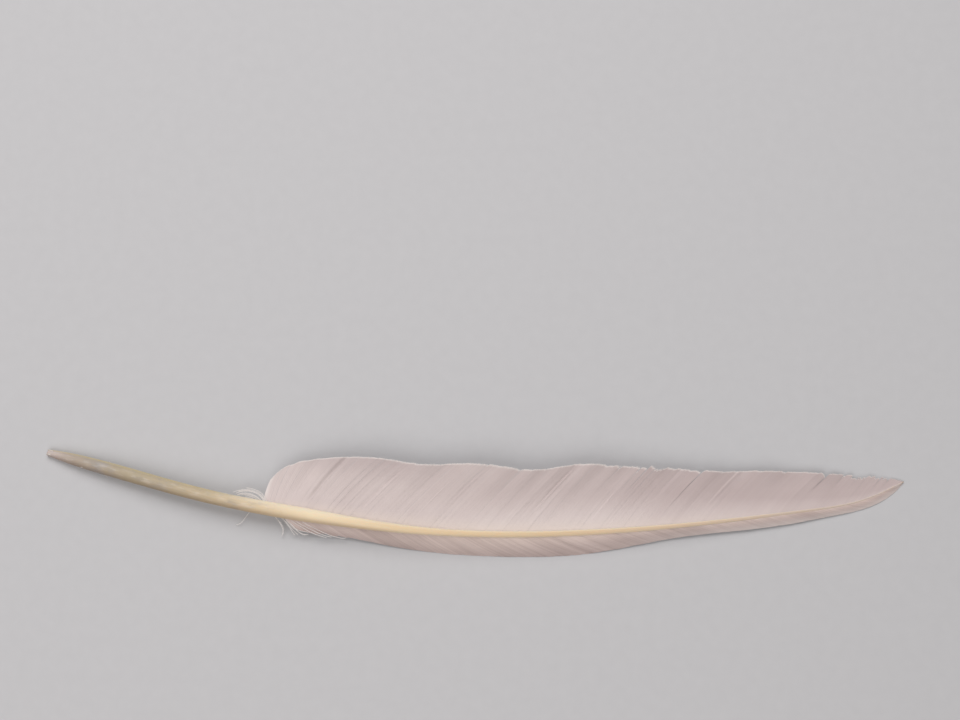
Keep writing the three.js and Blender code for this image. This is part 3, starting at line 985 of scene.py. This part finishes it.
# Where the membrane inside the quill is folded, in shares of the length.
MEMBRANE_FOLDS = [
    (0.045, DARK),
    (0.058, LIT),
    (0.078, HALF),
    (0.088, DARK),
    (0.120, DARK),
    (0.134, HALF),
    (0.150, DARK),
    (0.205, DARK),
    (0.220, HALF),
    (0.236, DARK),
]
# Seen from above, the upper flank is the one on the +Y side, which faces the light. On the quill the upper
# flank is painted lighter and olive, partly painted light, and the lower one darker, as painted shade. On the
# rachis the upper flank has a painted highlight, and the lower one is painted paler, as light where its
# shade would be.
UPPER_FLANK_TINT_AND_LIGHT = (0.64, 0.55, 0.31)
LOWER_FLANK_PAINTED_SHADE = (0.55, 0.43, 0.35)  # multiplies the colour
UPPER_PAINTED_HIGHLIGHT = (0.95, 0.86, 0.68)
LOWER_PAINTED_LIGHT = (0.90, 0.75, 0.56)
MEMBRANE_GREY = (0.32, 0.30, 0.29)
MEMBRANE_WHITE = (0.80, 0.74, 0.69)
FIBRE_HEIGHT = 0.06 * MM


# %% Shaft material
def shaft_material():
    material, tree = new_material("shaft_horn")
    wrap = tree.node("ShaderNodeAttribute", {"attribute_name": "wrap"}, output="Vector")

    def noise(stretch, detail):
        """A random pattern, scaled along the shaft and, by the angle's cosine and sine, round it."""
        return tree.noise(tree.node("ShaderNodeMapping", {}, {"Vector": wrap, "Scale": stretch}), 1.0, detail)

    station = tree.node("ShaderNodeSeparateXYZ", {}, {0: wrap})
    side = tree.other(station, "Y")
    flank = side.math("ABSOLUTE")
    bare = station.step(0.30, 0.24)
    fibres = noise((14.0, 9.0, 9.0), 4.0)
    patches = noise((75.0, 1.6, 1.6), 4.0)
    white = noise((70.0, 2.0, 2.0), 3.0)

    # The membrane in the quill: bars where it is folded, grey patches, and white clouds on the crown.
    colour = tree.node("ShaderNodeValToRGB", {"stops": SHAFT_COLOURS}, {0: station})
    fold = tree.node("ShaderNodeValToRGB", {"stops": MEMBRANE_FOLDS}, {0: station})
    colour = tree.mix(fold * patches.step(0.3, 0.6) * 0.65, colour, MEMBRANE_GREY)
    colour = tree.mix(patches.step(0.5, 0.7) * bare * 0.3, colour, MEMBRANE_GREY)
    colour = tree.mix(white.step(0.45, 0.75) * flank.step(0.85, 0.2) * bare * 0.32, colour, MEMBRANE_WHITE)

    # The flanks: on the quill, lighter and olive above, partly painted light, and darker below as painted
    # shade;
    #     # on the rachis, a painted highlight above and painted light below, where its shade would be.
    colour = tree.mix(side.step(0.55, 0.98) * station.step(0.26, 0.18) * 0.6, colour, UPPER_FLANK_TINT_AND_LIGHT)
    colour = tree.mix(side.step(0.2, 0.9) * station.step(0.18, 0.26) * 0.7, colour, UPPER_PAINTED_HIGHLIGHT)
    colour = tree.mix(side.step(0.1, -1.0) * station.step(0.44, 0.32) * 0.45, colour, LOWER_FLANK_PAINTED_SHADE, "MULTIPLY")
    colour = tree.mix(side.step(-0.25, -0.9) * station.step(0.34, 0.46) * 0.75, colour, LOWER_PAINTED_LIGHT)
    colour = tree.mix(fibres.step(0.5, 0.8) * 0.14, colour, MEMBRANE_WHITE)
    bump = tree.node("ShaderNodeBump", {}, {"Strength": 0.3, "Distance": FIBRE_HEIGHT, "Height": fibres})
    finish(
        tree,
        Base_Color=colour,
        Roughness=0.52 + (fibres - 0.5) * 0.3,
        Normal=bump,
        Coat_Weight=0.06,
        Coat_Roughness=0.4,
        Specular_IOR_Level=0.35,
        Subsurface_Weight=0.25,
        Subsurface_Radius=(1.0, 0.7, 0.45),
        Subsurface_Scale=1.2 * MM,
    )
    return material


shaft_finish = shaft_material()
shaft.data.materials.append(shaft_finish)
print("shaft finish:", shaft_finish.name)

# %% [markdown]
# ## Flakes of the sheath
#
# A growing feather is wrapped in a sheath. A few dry scraps of it still cling to the quill: thin strips that
# curl away from the horn.

# %% Flakes
# Each flake: its station, the angle round the shaft in degrees from +Y, its length, width and lift in mm. A
# negative length points to the quill's end.
FLAKES = [
    (11.6, 176, 1.3, 0.6, 0.45),
    (14.2, 150, -0.9, 0.4, 0.25),
    (22.4, 182, 1.5, 0.8, 0.65),
    (23.6, 8, -1.1, 0.5, 0.40),
    (1.6, 120, -1.8, 0.7, 0.30),
    (1.9, 40, -1.6, 0.6, 0.25),
    (47.0, 172, 1.0, 0.35, 0.20),
    (68.5, 20, -1.2, 0.4, 0.22),
]
FLAKE_THICKNESS = 0.06
FLAKE_STEPS = 6
FLAKE_CURL = 1.7  # the power by which it lifts
FLAKE_BLUNT = 1.02  # above 1, so that the tip keeps some width


def flake(station, angle, length, width, lift):
    """Rings of four corners from the flake's root to its tip."""
    angle = math.radians(angle)
    rings = []
    for share in np.linspace(0, 1, FLAKE_STEPS):
        at = station + length * share
        above = lift * share**FLAKE_CURL - 0.5 * FLAKE_THICKNESS
        half = width / 2 * math.sqrt(FLAKE_BLUNT - share)
        ring = []
        for aside, out in [(-half, 0), (half, 0), (half, FLAKE_THICKNESS), (-half, FLAKE_THICKNESS)]:
            turned = angle + aside / (shaft_width(at) / 2)
            across = (shaft_width(at) / 2 + above + out) * math.cos(turned)
            up = (shaft_depth(at) / 2 + above + out) * math.sin(turned)
            ring.append(beside_shaft(at, across, max(arch(at) + up, SHAFT_OVER_TABLE)))
        rings.append(np.array(ring) if length > 0 else np.array(ring)[::-1])
    return rings


sheath_flakes = lofted("sheath_flakes", *(flake(*facts) for facts in FLAKES))
sheath_flakes.data.shade_smooth()
SKIN_DARK, SKIN_LIGHT = (0.62, 0.55, 0.48), (0.80, 0.75, 0.70)
sheath_skin = mottled("sheath_skin", 2500.0, SKIN_DARK, SKIN_LIGHT, Roughness=0.6)
sheath_flakes.data.materials.append(sheath_skin)
print(len(FLAKES), "flakes of sheath")

# %% [markdown]
# ## Down at the foot of the vanes
#
# Where the vanes begin a few barbs are loose and soft. Each is drawn as a thread through listed points, and
# Geometry Nodes give the thread its thickness and set fine barbules along it.

# %% Down threads
# Each thread is a list of (station, Y, Z) in mm, from its root in the shaft to its tip. The upper tuft is on
# the +Y side, and the lower tuft and the loose barbs are on the -Y side.
UPPER_TUFT = [
    [(83, -19.8, 6.2), (81.2, -16.1, 6.6), (78.6, -14.6, 6.2), (74.9, -14.0, 5.6), (71.9, -14.5, 5.2)]
    + [(70.2, -15.1, 5.0)],
    [(82.4, -19.8, 6.1), (80.7, -16.5, 6.5), (78.2, -15.2, 6.1), (75.3, -14.6, 5.5), (72.6, -14.9, 5.1)]
    + [(71.2, -15.5, 4.9)],
    [(81.9, -19.8, 6.0), (79.9, -17.1, 6.3), (77.1, -15.8, 5.8), (74.5, -15.3, 5.2), (72.5, -15.7, 4.8)],
    [(81.2, -19.6, 5.8), (79.0, -17.3, 6.0), (76.8, -16.5, 5.5), (74.5, -16.2, 5.0)],
    [(80.4, -19.4, 5.6), (78.2, -17.5, 5.7), (76.4, -17.0, 5.2), (74.7, -16.9, 4.8)],
    [(83.3, -19.9, 6.3), (82.0, -16.6, 6.9), (80.5, -15.1, 7.0), (77.9, -14.0, 6.6), (75.3, -13.6, 6.1)],
    [(81.6, -19.7, 5.9), (79.6, -17.2, 6.1), (76.9, -16.1, 5.6), (74.1, -15.7, 5.0), (71.7, -16.0, 4.6)],
    [(82.7, -19.8, 6.1), (81.0, -16.3, 6.5), (78.4, -14.9, 6.1), (75.1, -14.3, 5.5), (72.3, -14.7, 5.1)],
]
LOWER_TUFT = [
    [(77.2, -21.2, 4.6), (74.7, -24.3, 3.0), (73.2, -26.0, 1.6), (72.3, -26.8, 1.1), (71.0, -26.9, 0.8)],
    [(84.6, -23.2, 5.0), (87.6, -26.0, 4.2), (88.7, -27.7, 3.2), (88.9, -29.1, 2.4), (88.1, -31.1, 1.6)],
    [(85.2, -23.3, 5.0), (88.1, -26.7, 3.9), (88.8, -28.8, 2.6), (88.5, -30.4, 1.9)],
    [(87.2, -23.6, 5.2), (90.6, -27.1, 4.2), (91.5, -28.9, 3.2), (92.4, -30.3, 2.5), (93.0, -30.9, 2.2)],
    [(87.8, -23.8, 5.2), (91.1, -27.5, 4.2), (92.6, -29.6, 3.0), (94.1, -30.7, 2.3)],
    [(89.2, -24.2, 5.4), (92.8, -28.3, 4.2), (94.5, -29.3, 3.6), (96.5, -29.6, 3.4), (97.9, -29.9, 3.3)],
    [(89.6, -24.4, 5.4), (93.2, -28.8, 4.0), (94.7, -30.2, 3.0), (96.2, -30.9, 2.5), (97.1, -30.8, 2.4)],
    [(90.0, -24.5, 5.4), (93.6, -29.2, 4.0), (95.4, -30.4, 3.2), (97.1, -30.9, 2.8), (98.0, -30.6, 2.8)],
]
LOOSE_BARBS = [
    [(91, -25.2, 5.6), (97.7, -29.4, 4.5), (100.7, -30.7, 3.6), (102.9, -31.4, 3.1), (104.8, -31.9, 2.8)],
    [(93, -25.6, 5.6), (100.7, -30.1, 4.1), (104.0, -31.2, 3.2), (106.6, -31.7, 2.8)],
    [(96, -26.2, 5.6), (104.8, -30.8, 3.7), (108.5, -31.6, 2.8), (111.1, -32.3, 2.5), (111.9, -31.9, 2.5)],
]
print(len(UPPER_TUFT + LOWER_TUFT + LOOSE_BARBS), "threads of down")

# %% Threads as curves
THREAD_TAPER = 0.75


def new_threads(name, threads):
    """A curve object with one smooth spline for each thread. Its radius falls to a quarter at the tip."""
    data = bpy.data.curves.new(name, "CURVE")
    data.dimensions = "3D"
    for thread in threads:
        spline = data.splines.new("NURBS")
        spline.points.add(len(thread) - 1)
        spline.order_u = min(4, len(thread))
        spline.use_endpoint_u = True
        spline.resolution_u = 8
        for i, (point, place) in enumerate(zip(spline.points, thread)):
            point.co = (*((np.array(place) + quill_end) * MM), 1)
            point.radius = 1 - THREAD_TAPER * i / (len(thread) - 1)
    return new_object(name, data)


# %% One barbule
BARBULE_BEND, BARBULE_THICKNESS = 0.18, 0.045  # in shares of its length


def barbule_blank(name):
    """A hair one unit long, along X: three-sided, bent a little, and closed to a point."""
    turns = [math.radians(120 * k) for k in range(3)]
    sections = [(0, 0, BARBULE_THICKNESS), (0.55, BARBULE_BEND * 0.5, 0.6 * BARBULE_THICKNESS)]
    points = []
    for x, aside, radius in sections:
        points += [(x, radius * math.cos(turn) + aside, radius * math.sin(turn)) for turn in turns]
    points.append((1, BARBULE_BEND * 1.6, 0))
    faces = [(2, 1, 0)]
    for k in range(3):
        n = (k + 1) % 3
        faces += [(k, n, 3 + n, 3 + k), (3 + k, 3 + n, 6)]
    mesh = bpy.data.meshes.new(name)
    mesh.from_pydata(points, [], faces)
    return bpy.data.objects.new(name, mesh)


# %% The down tree
THREAD_SIDES = 5
BARBULE_SWEEP = (-1.1, -0.5)  # how a barbule turns out from its thread, in radians
FULL_TURN = 6.283
SHORTEST_BARBULE = 0.4


def down_tree():
    inputs = {"Threads": "Geometry", "Barbule": "Object", "Thickness": "Float", "Spacing": "Float"}
    inputs |= {"Barbule length": "Float", "Seed": "Int", "Finish": "Material"}
    group, tree, ask = new_group("threads with barbules", inputs, "Down")

    def luck(low, high, salt):
        return chance(tree, low, high, tree.node("GeometryNodeInputIndex"), ask("Seed") + salt)

    circle = {"Resolution": THREAD_SIDES, "Radius": ask("Thickness")}
    section = tree.node("GeometryNodeCurvePrimitiveCircle", {"mode": "RADIUS"}, circle)
    swept = {"Curve": ask("Threads"), "Profile Curve": section, "Fill Caps": True}
    tubes = tree.node("GeometryNodeCurveToMesh", {}, swept)

    spaced = {"Curve": ask("Threads"), "Length": ask("Spacing")}
    stops = tree.node("GeometryNodeCurveToPoints", {"mode": "LENGTH"}, spaced)
    angles = {"X": 0.0, "Y": luck(*BARBULE_SWEEP, 1), "Z": luck(0.0, FULL_TURN, 2)}
    swung = tree.node("ShaderNodeCombineXYZ", {}, angles)
    turn = tree.node("FunctionNodeEulerToRotation", {}, {"Euler": swung})
    turns = {0: tree.other(stops, "Rotation"), 1: turn}
    facing = tree.node("FunctionNodeRotateRotation", {"rotation_space": "LOCAL"}, turns)
    hair = tree.node("GeometryNodeObjectInfo", {}, {"Object": ask("Barbule")}, output="Geometry")
    length = luck(SHORTEST_BARBULE, 1.0, 3) * ask("Barbule length")
    placed = {"Points": stops, "Instance": hair, "Rotation": facing, "Scale": length}
    hairs = tree.node("GeometryNodeInstanceOnPoints", {}, placed)

    both = tree.node("GeometryNodeJoinGeometry", {}, {0: tubes})
    tree.tree.links.new(hairs.socket, both.socket.node.inputs[0])
    end_group(tree, both, ask("Finish"), "Down")
    return group


# %% Down
down_on_threads = down_tree()
DOWN_DARK, DOWN_LIGHT = (0.80, 0.75, 0.73), (0.93, 0.90, 0.88)
down_finish = mottled("down_keratin", 300.0, DOWN_DARK, DOWN_LIGHT, Roughness=0.7, Sheen_Weight=0.3)
barbule = barbule_blank("barbule")


def grow_down(name, threads, thickness, spacing, length, seed):
    values = {
        "Barbule": barbule,
        "Thickness": thickness * MM,
        "Spacing": spacing * MM,
        "Barbule length": length * MM,
        "Seed": seed,
        "Finish": down_finish,
    }
    return grow(name, new_threads(name + "_threads", threads), down_on_threads, values)


tufts = UPPER_TUFT + LOWER_TUFT
basal_down = grow_down("basal_down", tufts, thickness=0.11, spacing=0.13, length=0.9, seed=5)
loose_barbs = grow_down("loose_barbs", LOOSE_BARBS, thickness=0.12, spacing=0.2, length=0.5, seed=8)
bpy.data.objects.remove(barbule)

# %% [markdown]
# ## Dressing the solid
#
# The pieces stand for the solid feather, which is hidden, and ride on its only body.

# %% Riding
dressed = [(shaft, "shaft"), (sheath_flakes, "shaft"), (broad_vane, "vane"), (narrow_vane, "vane")]
dressed += [(basal_down, "down"), (loose_barbs, "down")]
for piece, slot in dressed:
    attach(piece, "root")
    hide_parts("feather")
print(len(dressed), "pieces ride in place of the solid")

# %% [markdown]
# ## Table, light and camera
#
# A plain pale table, a large soft light from behind and above, which lets the shadows fall towards the
# viewer, a weaker one from the front, and a little light from all around. The camera looks almost straight
# down.

# %% Table
TABLE_SIZE = 4.0
table_corners = [(x * TABLE_SIZE / 2, y * TABLE_SIZE / 2, 0) for x, y in [(-1, -1), (1, -1), (1, 1), (-1, 1)]]
table_mesh = bpy.data.meshes.new("table")
table_mesh.from_pydata(table_corners, [], [(0, 1, 2, 3)])
table = new_object("table", table_mesh)
PAPER_DARK, PAPER_LIGHT = (0.53, 0.53, 0.545), (0.56, 0.56, 0.575)
table_paper = mottled("table_paper", 900.0, PAPER_DARK, PAPER_LIGHT, space="Generated", Roughness=0.85)
table_mesh.materials.append(table_paper)


# %% Lights
def area_light(name, place, size, power, colour):
    """A square light at a place, aimed at the middle of the feather."""
    light = bpy.data.lights.new(name, "AREA")
    light.shape = "SQUARE"
    light.size = size
    light.energy = power
    light.color = colour
    lamp = new_object(name, light)
    lamp.location = place
    lamp.rotation_euler = (-Vector(place)).to_track_quat("-Z", "Y").to_euler()


area_light("window", (-0.15, 0.8, 1.1), size=1.0, power=12.6, colour=(1.0, 0.98, 0.97))
area_light("front_fill", (-0.4, -0.7, 1.1), size=1.2, power=8.2, colour=(1.0, 0.97, 0.95))
world = bpy.data.worlds.new("room")
world.use_nodes = True
room = world.node_tree.nodes["Background"].inputs
room["Color"].default_value = (0.9, 0.87, 0.86, 1)
room["Strength"].default_value = 0.255
bpy.context.scene.world = world
bpy.context.scene.view_settings.view_transform = "Standard"

# %% Camera
CAMERA_ELEVATION = math.radians(82)
CAMERA_AIM = Vector((1.82, 54.02, 0)) * MM
CAMERA_DISTANCE = 704.5 * MM
camera_data = bpy.data.cameras.new("camera")
camera_data.lens = 70
camera = new_object("camera", camera_data)
towards_camera = Vector((0, -math.cos(CAMERA_ELEVATION), math.sin(CAMERA_ELEVATION)))
camera.location = CAMERA_AIM + towards_camera * CAMERA_DISTANCE
camera.rotation_euler = (-towards_camera).to_track_quat("-Z", "Y").to_euler()
bpy.context.scene.camera = camera
print("the camera stands", round(camera.location.z / MM), "mm over the table")
